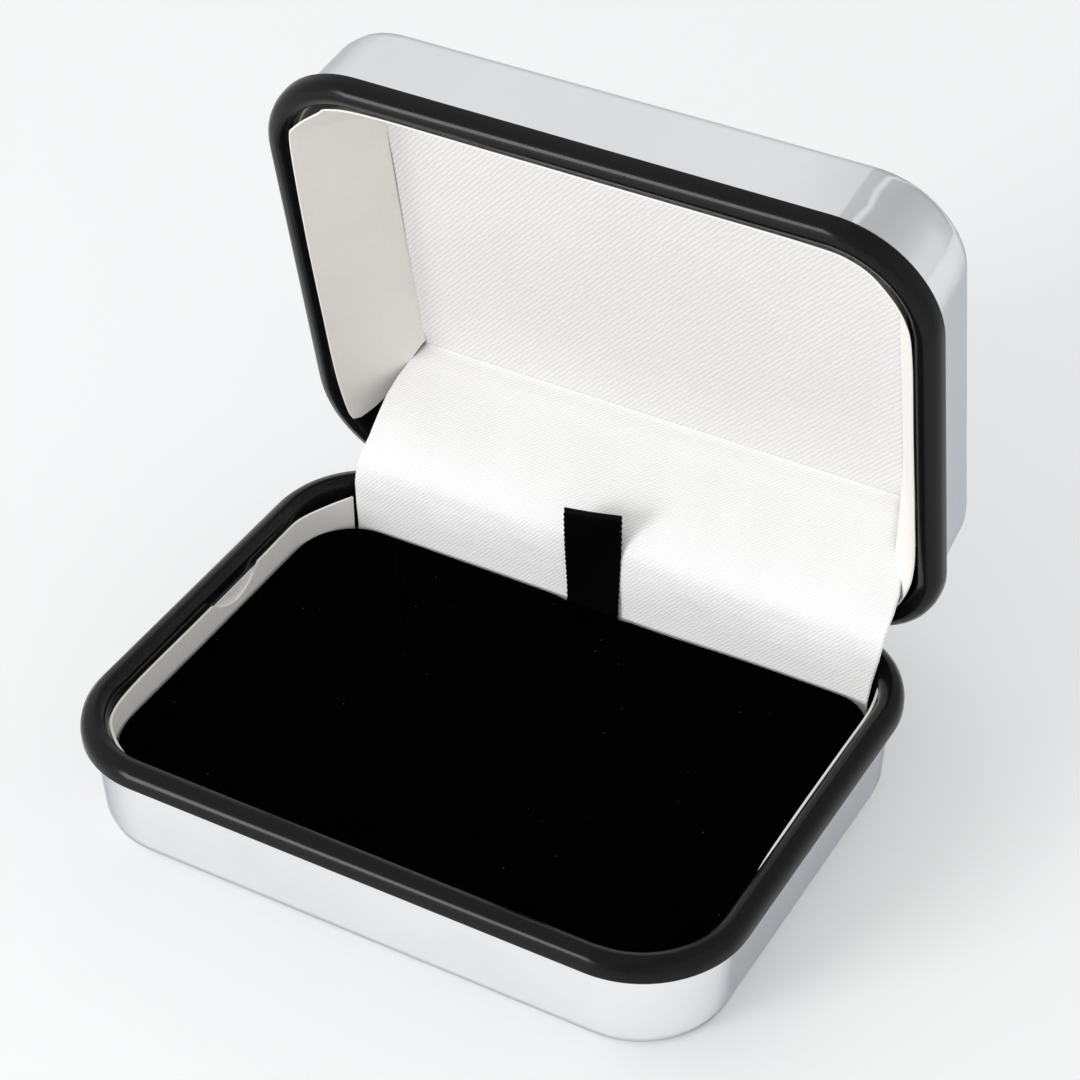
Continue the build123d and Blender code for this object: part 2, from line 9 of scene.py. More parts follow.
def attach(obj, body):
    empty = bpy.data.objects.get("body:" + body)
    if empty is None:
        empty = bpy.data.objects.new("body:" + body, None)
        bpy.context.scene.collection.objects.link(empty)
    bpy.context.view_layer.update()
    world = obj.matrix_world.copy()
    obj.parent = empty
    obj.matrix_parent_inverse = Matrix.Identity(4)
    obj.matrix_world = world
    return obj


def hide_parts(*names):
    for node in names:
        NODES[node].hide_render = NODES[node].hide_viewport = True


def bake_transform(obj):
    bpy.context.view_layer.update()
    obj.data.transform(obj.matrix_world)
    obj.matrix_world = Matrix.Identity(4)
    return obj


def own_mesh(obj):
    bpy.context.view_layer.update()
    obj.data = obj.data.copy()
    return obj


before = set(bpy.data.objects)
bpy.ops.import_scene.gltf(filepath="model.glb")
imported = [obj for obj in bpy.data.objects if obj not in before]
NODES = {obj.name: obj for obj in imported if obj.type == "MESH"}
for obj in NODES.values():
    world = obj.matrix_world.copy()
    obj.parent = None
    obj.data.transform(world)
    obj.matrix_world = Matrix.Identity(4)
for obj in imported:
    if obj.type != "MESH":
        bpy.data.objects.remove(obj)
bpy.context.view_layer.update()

# Lengths are written in millimetres and turned into metres when a mesh is made.
MM = 0.001

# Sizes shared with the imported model
OPEN_ANGLE = math.radians(79.0)
RIM_Z = 15.2
PARTING_GAP = 0.2
PIN_Y, PIN_Z = 31.5, 15.3
PAD_TOP_Z, PAD_BOTTOM_Z = 10.1, 1.9
PAD_HALF, PAD_FRONT_Y, PAD_REAR_Y = 38.9, -28.3, 24.75
PAD_FRONT_RADIUS, PAD_RIGHT_RADIUS, PAD_LEFT_RADIUS = 9.1, 5.2, 7.6
PAD_EDGE = 0.6
SLIT_DEEP, SLIT_OVER = 2.4, 1.5
SLIT_HALF_LOW, SLIT_HALF_HIGH = 0.03, 0.22
FOAM_SLIT_MARGIN = 0.2
RIBBON_X, RIBBON_HALF, RIBBON_MIDDLE_Y = -0.15, 3.55, 24.55
RIBBON_THICKNESS = 0.12
SATIN_DEPTH = 12.4
SATIN_THICKNESS = 0.14
PANEL_LEFT, PANEL_RIGHT, PANEL_REAR_Y, PANEL_FRONT_Y = -34.3, 33.6, 20.6, -26.0
LID_CARD_RIM, LID_CARD_FOOT, LID_CARD_THICKNESS = 0.27, 12.3, 0.2
BASE_CARD_FOOT_Z, BASE_CARD_THICKNESS = 2.2, 0.3


# Places

def lid_points(points):
    """Points of the shut lid's half frame (x, y, depth into the lid) to the open lid."""
    points = np.asarray(points, float)
    from_pin_y = points[..., 1] - PIN_Y
    from_pin_z = RIM_Z + PARTING_GAP + points[..., 2] - PIN_Z
    cosine, sine = math.cos(OPEN_ANGLE), math.sin(OPEN_ANGLE)
    y = PIN_Y + from_pin_y * cosine + from_pin_z * sine
    z = PIN_Z - from_pin_y * sine + from_pin_z * cosine
    return np.stack([points[..., 0], y, z], -1)


def smooth(t):
    """Smooth step from 0 to 1."""
    t = np.clip(t, 0.0, 1.0)
    return t * t * (3 - 2 * t)


def spline(points, count):
    """Points at even steps along a smooth curve through the given points."""
    points = np.asarray(points, float)
    padded = np.vstack([2 * points[0] - points[1], points, 2 * points[-1] - points[-2]])
    dense = []
    for k in range(1, len(padded) - 2):
        p0, p1, p2, p3 = padded[k - 1 : k + 3]
        for t in np.linspace(0, 1, 40, endpoint=False):
            a = 2 * p1 + (p2 - p0) * t + (2 * p0 - 5 * p1 + 4 * p2 - p3) * t**2
            dense.append(0.5 * (a + (3 * p1 - p0 - 3 * p2 + p3) * t**3))
    dense = np.array(dense + [padded[-2]])
    along = np.r_[0, np.cumsum(np.linalg.norm(np.diff(dense, axis=0), axis=1))]
    steps = np.linspace(0, along[-1], count)
    return np.stack([np.interp(steps, along, dense[:, k]) for k in range(dense.shape[1])], -1)


# Meshes

def make_piece(name, points, faces, material, body=None, smooth_angle=None):
    """Mesh object in the shared frame, from points in millimetres."""
    mesh = bpy.data.meshes.new(name)
    mesh.from_pydata((np.asarray(points, float) * MM).tolist(), [], faces)
    mesh.validate()
    shape = bmesh.new()
    shape.from_mesh(mesh)
    bmesh.ops.recalc_face_normals(shape, faces=shape.faces)
    shape.to_mesh(mesh)
    shape.free()
    mesh.polygons.foreach_set("use_smooth", [True] * len(mesh.polygons))
    if smooth_angle is not None:
        mesh.set_sharp_from_angle(angle=math.radians(smooth_angle))
    mesh.materials.append(material)
    piece = bpy.data.objects.new(name, mesh)
    bpy.context.scene.collection.objects.link(piece)
    if body:
        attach(piece, body)
    return piece


def thick_sheet(grid, thickness):
    """Points and faces of a closed sheet from a grid of points on its front face.

    The back face lies behind the front one along the grid's own normals.
    """
    rows, columns = grid.shape[:2]
    along = np.gradient(grid, axis=0)
    across = np.gradient(grid, axis=1)
    normal = np.cross(across, along)
    normal /= np.linalg.norm(normal, axis=2)[..., None]
    back = grid - normal * thickness
    points = np.concatenate([grid.reshape(-1, 3), back.reshape(-1, 3)])
    offset = rows * columns
    faces = []
    for i in range(rows - 1):
        for j in range(columns - 1):
            a = i * columns + j
            quad = (a, a + 1, a + columns + 1, a + columns)
            faces.append(quad)
            faces.append(tuple(offset + k for k in reversed(quad)))
    rim = [j for j in range(columns)]
    rim += [i * columns + columns - 1 for i in range(1, rows)]
    rim += [(rows - 1) * columns + j for j in range(columns - 2, -1, -1)]
    rim += [i * columns for i in range(rows - 2, 0, -1)]
    for k, a in enumerate(rim):
        b = rim[(k + 1) % len(rim)]
        faces.append((b, a, offset + a, offset + b))
    return points, faces


def round_shading(node_names):
    """Shades the flat bands of round edges smoothly; points stay where they are."""
    tree = bpy.data.node_groups.new("round_shading", "GeometryNodeTree")
    tree.interface.new_socket("Geometry", in_out="INPUT", socket_type="NodeSocketGeometry")
    tree.interface.new_socket("Geometry", in_out="OUTPUT", socket_type="NodeSocketGeometry")
    shape = add(tree, "NodeGroupInput").outputs[0]
    joined = add(tree, "GeometryNodeMergeByDistance", {"Geometry": shape, "Distance": 0.000002})
    bare = add(tree, "GeometryNodeRemoveAttribute", {"Geometry": joined.outputs[0]})
    bare.inputs["Name"].default_value = "custom_normal"
    faces = add(tree, "GeometryNodeSetShadeSmooth", {"Geometry": bare.outputs[0]}, domain="FACE")
    faces.inputs["Shade Smooth"].default_value = True
    turn = add(tree, "GeometryNodeInputMeshEdgeAngle").outputs["Unsigned Angle"]
    edges = add(tree, "GeometryNodeSetShadeSmooth", {"Geometry": faces.outputs[0]}, domain="EDGE")
    tree.links.new(calc(tree, "LESS_THAN", turn, math.radians(40)), edges.inputs["Shade Smooth"])
    output = add(tree, "NodeGroupOutput")
    tree.links.new(edges.outputs[0], output.inputs[0])
    for name in node_names:
        smoothing = NODES[name].modifiers.new("round_shading", "NODES")
        smoothing.node_group = tree
        weighting = NODES[name].modifiers.new("face_weights", "WEIGHTED_NORMAL")
        weighting.keep_sharp = True


# Materials

def new_material(name):
    """Material with a Principled shader, and helpers to add nodes to it."""
    material = bpy.data.materials.new(name)
    material.use_nodes = True
    tree = material.node_tree
    shader = tree.nodes["Principled BSDF"]
    return material, tree, shader


def add(tree, kind, inputs=None, **settings):
    """Adds a node, with settings on the node and values on its inputs."""
    node = tree.nodes.new(kind)
    for key, value in settings.items():
        setattr(node, key, value)
    for key, value in (inputs or {}).items():
        if hasattr(value, "is_output"):
            tree.links.new(value, node.inputs[key])
        else:
            node.inputs[key].default_value = value
    return node


def object_place(tree, scale=(1, 1, 1), turn=(0, 0, 0)):
    """Place on the object in millimetres, as a texture coordinate."""
    coordinates = add(tree, "ShaderNodeTexCoord")
    mapping = add(tree, "ShaderNodeMapping", {"Vector": coordinates.outputs["Object"]})
    mapping.inputs["Scale"].default_value = [1000 * s for s in scale]
    mapping.inputs["Rotation"].default_value = turn
    return mapping.outputs["Vector"]


def noise(tree, place, scale, detail=3.0, rough=0.5):
    """Noise value at a scale per millimetre."""
    node = add(tree, "ShaderNodeTexNoise", {"Vector": place, "Scale": scale})
    node.inputs["Detail"].default_value = detail
    node.inputs["Roughness"].default_value = rough
    return node.outputs["Fac"]


def ramp(tree, value, low, high, low_at=0.3, high_at=0.7):
    """Colour ramp between two colours."""
    node = add(tree, "ShaderNodeValToRGB", {"Fac": value})
    for element, place, colour in zip(node.color_ramp.elements, (low_at, high_at), (low, high)):
        element.position = place
        element.color = (*colour, 1.0)
    return node.outputs["Color"]


def spread(tree, value, low, high, low_in=0.3, high_in=0.7):
    """Value moved from one range to another."""
    node = add(tree, "ShaderNodeMapRange", {"Value": value})
    node.inputs["From Min"].default_value = low_in
    node.inputs["From Max"].default_value = high_in
    node.inputs["To Min"].default_value = low
    node.inputs["To Max"].default_value = high
    return node.outputs["Result"]


def bump(tree, shader, height, strength, distance_mm):
    """Bump from a height value."""
    node = add(tree, "ShaderNodeBump", {"Height": height})
    node.inputs["Strength"].default_value = strength
    node.inputs["Distance"].default_value = distance_mm * MM
    tree.links.new(node.outputs["Normal"], shader.inputs["Normal"])


def calc(tree, kind, a, b=0.0):
    """Math node on two values."""
    node = add(tree, "ShaderNodeMath", operation=kind)
    for socket, value in zip(node.inputs, (a, b)):
        if hasattr(value, "is_output"):
            tree.links.new(value, socket)
        else:
            socket.default_value = value
    return node.outputs["Value"]


def chrome_material():
    """Bright chrome plate on drawn steel, with faint drawing lines and light wear."""
    material, tree, shader = new_material("chrome_plate")
    place = object_place(tree)
    clouds = noise(tree, place, 0.05, 4.0, 0.6)
    streaks = noise(tree, object_place(tree, (0.6, 0.6, 0.04)), 1.0, 3.0, 0.6)
    tint = ramp(tree, clouds, (0.90, 0.905, 0.915), (0.95, 0.952, 0.955))
    tree.links.new(tint, shader.inputs["Base Color"])
    shader.inputs["Metallic"].default_value = 1.0
    shader.inputs["Specular Tint"].default_value = (0.58, 0.61, 0.64, 1.0)
    tree.links.new(spread(tree, streaks, 0.05, 0.10), shader.inputs["Roughness"])
    bump(tree, shader, streaks, 0.04, 0.02)
    return material


def black_frame_material():
    """Glossy black moulded plastic with fine flow marks and dust."""
    material, tree, shader = new_material("black_frame")
    place = object_place(tree)
    marks = noise(tree, place, 0.8, 5.0, 0.6)
    dust = noise(tree, place, 6.0, 2.0, 0.5)
    tint = ramp(tree, dust, (0.0045, 0.0045, 0.005), (0.009, 0.009, 0.010), 0.5, 0.85)
    tree.links.new(tint, shader.inputs["Base Color"])
    tree.links.new(spread(tree, marks, 0.16, 0.22), shader.inputs["Roughness"])
    shader.inputs["Specular IOR Level"].default_value = 0.17
    bump(tree, shader, marks, 0.05, 0.03)
    return material


def card_material(name, low, high, grain):
    """Paper-faced card with a fibrous grain."""
    material, tree, shader = new_material(name)
    place = object_place(tree)
    fibres = noise(tree, object_place(tree, (1.0, 1.0, 0.5)), grain, 6.0, 0.65)
    clouds = noise(tree, place, 0.12, 3.0, 0.5)
    fibre_part = calc(tree, "MULTIPLY", fibres, 0.6)
    both = calc(tree, "ADD", fibre_part, calc(tree, "MULTIPLY", clouds, 0.4))
    tree.links.new(ramp(tree, both, low, high, 0.35, 0.65), shader.inputs["Base Color"])
    shader.inputs["Roughness"].default_value = 0.62
    shader.inputs["Specular IOR Level"].default_value = 0.35
    bump(tree, shader, fibres, 0.25, 0.03)
    return material


def velvet_material():
    """Black velvet: deep pile that goes a little grey along its edges, and fine lint."""
    material, tree, shader = new_material("black_velvet")
    place = object_place(tree)
    pile = noise(tree, place, 9.0, 4.0, 0.7)
    swirls = noise(tree, place, 0.25, 3.0, 0.5)
    lint = add(tree, "ShaderNodeTexVoronoi", {"Vector": place, "Scale": 0.42})
    speck = calc(tree, "LESS_THAN", lint.outputs["Distance"], 0.036)
    pile_tint = ramp(tree, swirls, (0.0005, 0.0005, 0.0006), (0.0009, 0.0009, 0.0010))
    mixed = add(tree, "ShaderNodeMix", data_type="RGBA")
    tree.links.new(speck, mixed.inputs[0])
    tree.links.new(pile_tint, mixed.inputs[6])
    mixed.inputs[7].default_value = (0.06, 0.06, 0.06, 1.0)
    tree.links.new(mixed.outputs[2], shader.inputs["Base Color"])
    shader.inputs["Roughness"].default_value = 1.0
    shader.inputs["Specular IOR Level"].default_value = 0.0
    shader.inputs["Sheen Weight"].default_value = 0.0015
    shader.inputs["Sheen Roughness"].default_value = 0.4
    bump(tree, shader, pile, 0.7, 0.12)
    return material


def black_satin_material():
    """Woven black ribbon with fine cross ribs."""
    material, tree, shader = new_material("black_ribbon")
    ribs = add(tree, "ShaderNodeTexWave", {"Vector": object_place(tree), "Scale": 1.2})
    ribs.bands_direction = "Z"
    threads = noise(tree, object_place(tree, (1.0, 1.0, 0.2)), 8.0, 3.0, 0.6)
    tint = ramp(tree, threads, (0.0005, 0.0005, 0.0006), (0.0014, 0.0014, 0.0016))
    tree.links.new(tint, shader.inputs["Base Color"])
    shader.inputs["Roughness"].default_value = 0.5
    shader.inputs["Specular IOR Level"].default_value = 0.05
    shader.inputs["Sheen Weight"].default_value = 0.001
    bump(tree, shader, calc(tree, "ADD", ribs.outputs["Fac"], threads), 0.4, 0.04)
    return material


def white_satin_material(name, rib_pitch, turn, low, high):
    """White satin: diagonal twill ribs with fine broken threads and a soft gloss."""
    material, tree, shader = new_material(name)
    coordinates = add(tree, "ShaderNodeUVMap", uv_map="cloth")
    mapping = add(tree, "ShaderNodeMapping", {"Vector": coordinates.outputs["UV"]})
    mapping.inputs["Rotation"].default_value = (0, 0, turn)
    wave = add(tree, "ShaderNodeTexWave", {"Vector": mapping.outputs["Vector"]})
    wave.bands_direction = "X"
    wave.inputs["Scale"].default_value = 1.0 / (rib_pitch * 3.18)
    wave.inputs["Distortion"].default_value = 2.4
    wave.inputs["Detail"].default_value = 2.0
    wave.inputs["Detail Scale"].default_value = 1.5
    long_place = add(tree, "ShaderNodeMapping", {"Vector": mapping.outputs["Vector"]})
    long_place.inputs["Scale"].default_value = (1.0, 0.4, 1.0)
    threads = noise(tree, long_place.outputs["Vector"], 4.2, 4.0, 0.65)
    clouds = noise(tree, coordinates.outputs["UV"], 0.08, 3.0, 0.5)
    ribs = calc(tree, "MULTIPLY", wave.outputs["Fac"], 0.55)
    height = calc(tree, "ADD", ribs, calc(tree, "MULTIPLY", threads, 1.1))
    dots = calc(tree, "MULTIPLY", wave.outputs["Fac"], threads)
    cloud_part = calc(tree, "MULTIPLY", clouds, 0.25)
    shade = calc(tree, "ADD", cloud_part, calc(tree, "MULTIPLY", dots, 1.1))
    tint = ramp(tree, shade, low, high, 0.15, 0.6)
    tree.links.new(tint, shader.inputs["Base Color"])
    tree.links.new(spread(tree, threads, 0.42, 0.62), shader.inputs["Roughness"])
    shader.inputs["Specular IOR Level"].default_value = 0.32
    shader.inputs["Sheen Weight"].default_value = 0.1
    bump(tree, shader, height, 0.5, 0.08)
    return material


def metal_material(name, low, high, roughness):
    """Plated or spring steel with rolling marks."""
    material, tree, shader = new_material(name)
    marks = noise(tree, object_place(tree, (0.1, 1.0, 1.0)), 5.0, 4.0, 0.6)
    tree.links.new(ramp(tree, marks, low, high), shader.inputs["Base Color"])
    shader.inputs["Metallic"].default_value = 1.0
    tree.links.new(spread(tree, marks, *roughness), shader.inputs["Roughness"])
    bump(tree, shader, marks, 0.1, 0.02)
    return material


def foam_material():
    """Grey open-cell foam."""
    material, tree, shader = new_material("pad_foam")
    cells = add(tree, "ShaderNodeTexVoronoi", {"Vector": object_place(tree), "Scale": 1.6})
    tint = ramp(tree, cells.outputs["Distance"], (0.05, 0.05, 0.055), (0.16, 0.16, 0.17), 0.1, 0.6)
    tree.links.new(tint, shader.inputs["Base Color"])
    shader.inputs["Roughness"].default_value = 0.95
    bump(tree, shader, cells.outputs["Distance"], 0.8, 0.2)
    return material


def floor_material():
    """Pale floor with faint clouds and little gloss."""
    material, tree, shader = new_material("floor")
    place = object_place(tree, (0.001, 0.001, 0.001))
    clouds = noise(tree, place, 1.5, 2.0, 0.5)
    tint = ramp(tree, clouds, (0.92, 0.92, 0.92), (0.94, 0.94, 0.94))
    tree.links.new(tint, shader.inputs["Base Color"])
    shader.inputs["Roughness"].default_value = 0.5
    shader.inputs["Specular IOR Level"].default_value = 0.2
    return material


def set_material(node_names, material):
    """Gives carried-over CAD nodes a material."""
    for name in node_names:
        mesh = NODES[name].data
        mesh.materials.clear()
        mesh.materials.append(material)


# Pieces

def rounded_outline(half_x, front_y, rear_y, front_radius, right_radius, left_radius, step):
    """Closed outline with its own front, rear right and rear left corner radii."""
    corners = [
        (half_x - front_radius, front_y + front_radius, front_radius, -90),
        (half_x - right_radius, rear_y - right_radius, right_radius, 0),
        (-half_x + left_radius, rear_y - left_radius, left_radius, 90),
        (-half_x + front_radius, front_y + front_radius, front_radius, 180),
    ]
    points = []
    for x, y, radius, start in corners:
        for angle in np.radians(np.linspace(start, start + 90, 16)):
            points.append((x + radius * math.cos(angle), y + radius * math.sin(angle)))
    points = np.array(points)
    closed = np.vstack([points, points[:1]])
    along = np.r_[0, np.cumsum(np.linalg.norm(np.diff(closed, axis=0), axis=1))]
    steps = np.arange(0, along[-1], step)
    return np.stack([np.interp(steps, along, closed[:, k]) for k in range(2)], -1)


def pad_height(x, y):
    """Height of the velvet's top over its edge: a low crown, a little lower beside the ribbon."""
    across = np.clip(np.abs(x) / PAD_HALF, 0, 1)
    middle_y = (PAD_REAR_Y + PAD_FRONT_Y) / 2
    deep = np.clip(np.abs(y - middle_y) / (PAD_REAR_Y - middle_y), 0, 1)
    crown = 0.3 * (1 - across**4) * (1 - deep**6)
    swell = 0.22 - 0.32 * np.exp(-(((x - 8) / 9) ** 2))
    swell = swell * smooth(y / PAD_REAR_Y) * (1 - across**8)
    return crown + swell + 0.05 * np.sin(x * 0.21) * np.cos(y * 0.17 + 0.6)


def pad_rear_shift(x):
    """How far the rear edge bows out: pressed in by the ribbon and a little beside it."""
    ribbon = np.exp(-(((x - RIBBON_X) / 4.6) ** 8))
    return 0.1 - 0.1 * np.exp(-(((x - 8) / 9) ** 2)) - 0.35 * ribbon


def pad_outline(step):
    """Outline of the velvet cover."""
    sizes = (PAD_HALF, PAD_FRONT_Y, PAD_REAR_Y)
    radii = (PAD_FRONT_RADIUS, PAD_RIGHT_RADIUS, PAD_LEFT_RADIUS)
    outline = rounded_outline(*sizes, *radii, step)
    rear = smooth((outline[:, 1] - (PAD_REAR_Y - 2.5)) / 2.4)
    outline[:, 1] += rear * pad_rear_shift(outline[:, 0])
    return outline


def outward_normals(outline):
    """Outward normals of a closed outline, at its points."""
    tangent = np.roll(outline, -1, 0) - np.roll(outline, 1, 0)
    normal = np.stack([tangent[:, 1], -tangent[:, 0]], -1)
    return normal / np.linalg.norm(normal, axis=1)[:, None]


def velvet_pad(material):
    """Velvet cover: a crowned top with rolled edges over the foam block."""
    profile = [(0.25, PAD_BOTTOM_Z), (0.0, 4.0), (0.0, 7.5)]
    for k in range(7):
        angle = math.pi / 2 * k / 6
        rise = PAD_EDGE * (math.sin(angle) - 1)
        profile.append((PAD_EDGE * (1 - math.cos(angle)), PAD_TOP_Z + rise))
    base = pad_outline(0.5)
    count = len(base)
    centre = np.array([0.0, (PAD_FRONT_Y + PAD_REAR_Y) / 2])
    normal = outward_normals(base)
    rings = [(base - normal * inset, z) for inset, z in profile]
    edge = rings[-1][0]
    for share in np.linspace(0.985, 0.02, 70):
        rings.append((centre + (edge - centre) * share, PAD_TOP_Z))
    points, faces = [], []
    for number, (ring, z) in enumerate(rings):
        height = z + pad_height(ring[:, 0], ring[:, 1]) * smooth((z - 5.0) / 5.0)
        points.extend(np.c_[ring, height].tolist())
        if number:
            start, previous = number * count, (number - 1) * count
            for k in range(count):
                n = (k + 1) % count
                faces.append((previous + k, previous + n, start + n, start + k))
    faces.append(tuple(range((len(rings) - 1) * count, len(rings) * count)))
    faces.append(tuple(range(count - 1, -1, -1)))
    pad = make_piece("velvet_pad", points, faces, material, "insert", 60)
    cut_slits(pad)
    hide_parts("insert_velvet")
    return pad


def pad_core(name, node, inset, material):
    """Board or foam of the pad, to the velvet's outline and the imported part's heights."""
    heights = [(NODES[node].matrix_world @ v.co).z / MM for v in NODES[node].data.vertices]
    outline = pad_outline(0.8)
    outline = outline - outward_normals(outline) * inset
    count = len(outline)
    points = np.vstack([np.c_[outline, np.full(count, z)] for z in (min(heights), max(heights))])
    faces = [(k, (k + 1) % count, count + (k + 1) % count, count + k) for k in range(count)]
    faces += [tuple(range(count - 1, -1, -1)), tuple(range(count, 2 * count))]
    core = make_piece(name, points, faces, material, "insert", 30)
    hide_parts(node)
    return core


SLITS = [((-27.9, 23.6), (-19.2, 10.7)), ((27.9, 23.6), (19.2, 10.7))]
BLOCK_FACES = [
    (0, 3, 2, 1), (4, 5, 6, 7), (0, 1, 5, 4), (1, 2, 6, 5), (2, 3, 7, 6), (3, 0, 4, 7),
]


def cut_slits(pad, wider=0.0):
    """Two narrow cuts in the pad's rear corners, whose lips close towards the bottom."""
    points, faces = [], []
    for (x0, y0), (x1, y1) in SLITS:
        run = np.array([x1 - x0, y1 - y0])
        side = np.array([-run[1], run[0]]) / np.linalg.norm(run)
        start = len(points)
        low = (PAD_TOP_Z - SLIT_DEEP, SLIT_HALF_LOW)
        high = (PAD_TOP_Z + SLIT_OVER, SLIT_HALF_HIGH)
        for z, half in (low, high):
            for along, sign in ((0, -1), (1, -1), (1, 1), (0, 1)):
                end = run / np.linalg.norm(run) * wider * (2 * along - 1)
                x, y = np.array([x0, y0]) + run * along + end + side * sign * (half + wider)
                points.append((x, y, z - wider))
        faces += [tuple(start + k for k in face) for face in BLOCK_FACES]
    blades = make_piece("blades", points, faces, pad.data.materials[0])
    cut = pad.modifiers.new("cut", "BOOLEAN")
    cut.operation, cut.solver, cut.object = "DIFFERENCE", "EXACT", blades
    bpy.context.view_layer.update()
    evaluated = pad.evaluated_get(bpy.context.evaluated_depsgraph_get())
    shaped = bpy.data.meshes.new_from_object(evaluated)
    pad.modifiers.clear()
    pad.data = shaped
    bpy.data.objects.remove(blades)


def pull_ribbon(material):
    """Ribbon loop that stands behind the pad, turned a little towards its top."""
    path = [(24.44, 1.95), (24.44, 10.0), (24.43, 14.0), (24.40, 17.0), (24.30, 20.0)]
    path += [(24.12, 23.2), (24.08, 24.6), (24.26, 25.22), (24.55, 25.3), (24.84, 25.05)]
    path += [(24.9, 23.6), (24.82, 20.0), (24.72, 17.0), (24.67, 14.0), (24.66, 10.0)]
    path += [(24.66, 1.95)]
    curve = spline(path, 420)
    widths = np.linspace(-1.0, 1.0, 27)
    grid = np.zeros((len(curve), len(widths), 3))
    for i, (y, z) in enumerate(curve):
        turn = math.radians(15) * float(smooth((z - 11) / 11.0))
        edge = RIBBON_HALF + 0.05 * math.sin(i * 0.85)
        for j, share in enumerate(widths):
            across = share * (edge if abs(share) > 0.9 else RIBBON_HALF)
            cup = 0.12 * (1 - share**2) * float(smooth((z - 12) / 8.0))
            reach = y - RIBBON_MIDDLE_Y - cup
            grid[i, j, 0] = RIBBON_X + across * math.cos(turn) - reach * math.sin(turn)
            grid[i, j, 1] = RIBBON_MIDDLE_Y + across * math.sin(turn) + reach * math.cos(turn)
            grid[i, j, 2] = z
    points, faces = thick_sheet(grid, RIBBON_THICKNESS)
    band = make_piece("pull_ribbon_loop", points, faces, material, "insert")
    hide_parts("pull_ribbon")
    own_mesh(band)
    return band


def add_cloth_places(piece, places):
    """Stores each point's place on the flat cloth, in millimetres, for the weave."""
    layer = piece.data.uv_layers.new(name="cloth")
    for loop in piece.data.loops:
        layer.data[loop.index].uv = places[loop.vertex_index]


SATIN_PROFILE = [
    (24.95, 1.5), (24.95, 9.0), (24.95, 15.0), (25.08, 17.4), (25.55, 19.6), (26.9, 21.5),
    (29.4, 23.2), (32.8, 24.7), (37.4, 26.4),
]
SATIN_IN_CREASE = [(21.25, 10.3), (21.05, 11.9), (20.75, 12.5), (20.2, 12.64), (19.4, 12.64)]


def satin_bridge(material):
    """Satin that comes up behind the pad, rolls over the hinge and runs into the lid."""
    crease = lid_points([(0.0, y, depth) for y, depth in SATIN_IN_CREASE])[:, 1:]
    curve = spline(np.vstack([SATIN_PROFILE, crease]), 190)
    heights = [1.5, 10.0, 13.1, 16.9, 19.1, 22.3, 23.5, 25.0, 26.1, 27.7, 28.3, 29.8]
    right = [36.9, 37.0, 37.4, 38.1, 38.35, 38.4, 38.1, 36.8, 35.7, 33.6, 32.8, 32.6]
    left = [-34.6, -34.7, -34.8, -34.8, -34.6, -34.25, -34.5, -35.0, -35.1, -34.7, -34.2, -33.6]
    columns = 180
    along = np.r_[0, np.cumsum(np.linalg.norm(np.diff(curve, axis=0), axis=1))]
    slope = np.gradient(curve, axis=0)
    slope /= np.linalg.norm(slope, axis=1)[:, None]
    grid = np.zeros((len(curve), columns, 3))
    places = np.zeros((len(curve), columns, 2))
    for i, (y, z) in enumerate(curve):
        x = np.linspace(np.interp(z, heights, left), np.interp(z, heights, right), columns)
        free = smooth((z - 14.0) / 4.0) * smooth((27.2 - z) / 3.0)
        ripple = free * (0.14 * np.sin(x * 0.27 + 0.8) + 0.06 * np.sin(x * 0.8 + z * 0.4))
        pressed = smooth((z - 3.0) / 5.0) * smooth((15.0 - z) / 4.0)
        back = 0.08 * pressed
        grid[i, :, 0] = x
        grid[i, :, 1] = y + slope[i, 1] * ripple + back
        grid[i, :, 2] = z - slope[i, 0] * ripple
        places[i, :, 0] = x
        places[i, :, 1] = along[i]
    points, faces = thick_sheet(grid, SATIN_THICKNESS)
    strip = make_piece("satin_over_hinge", points, faces, material)
    add_cloth_places(strip, np.concatenate([places.reshape(-1, 2)] * 2))
    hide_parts("satin_bridge")
    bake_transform(strip)
    return strip


def lid_satin(material):
    """Satin panel on the lid's board, puffed up along its two sides."""
    rows, columns = 180, 220
    y = np.linspace(PANEL_REAR_Y, PANEL_FRONT_Y, rows)
    grid = np.zeros((rows, columns, 3))
    places = np.zeros((rows, columns, 2))
    for i in range(rows):
        x = np.linspace(PANEL_LEFT, PANEL_RIGHT, columns)
        wave = 0.5 + 0.5 * np.sin(y[i] * 0.55) * np.sin(y[i] * 0.23 + 1.0)
        puff = 0.1 * np.sin(x * 0.12) * np.sin(y[i] * 0.11)
        left = smooth((x + 34.2) / 0.5) * np.exp(-(((x + 33.6) / 1.5) ** 2))
        right = smooth((33.5 - x) / 0.5) * np.exp(-(((x - 32.9) / 1.1) ** 2))
        puff += (0.26 + 0.2 * wave) * left + 0.24 * right
        puff *= smooth((20.2 - y[i]) / 2.5)
        grid[i] = lid_points(np.stack([x, np.full(columns, y[i]), SATIN_DEPTH - puff], -1))
        places[i, :, 0] = x
        places[i, :, 1] = -y[i]
    points, faces = thick_sheet(grid, SATIN_THICKNESS)
    panel = make_piece("satin_in_lid", points, faces, material, "lid")
    add_cloth_places(panel, np.concatenate([places.reshape(-1, 2)] * 2))
    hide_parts("lid_satin")
    return panel


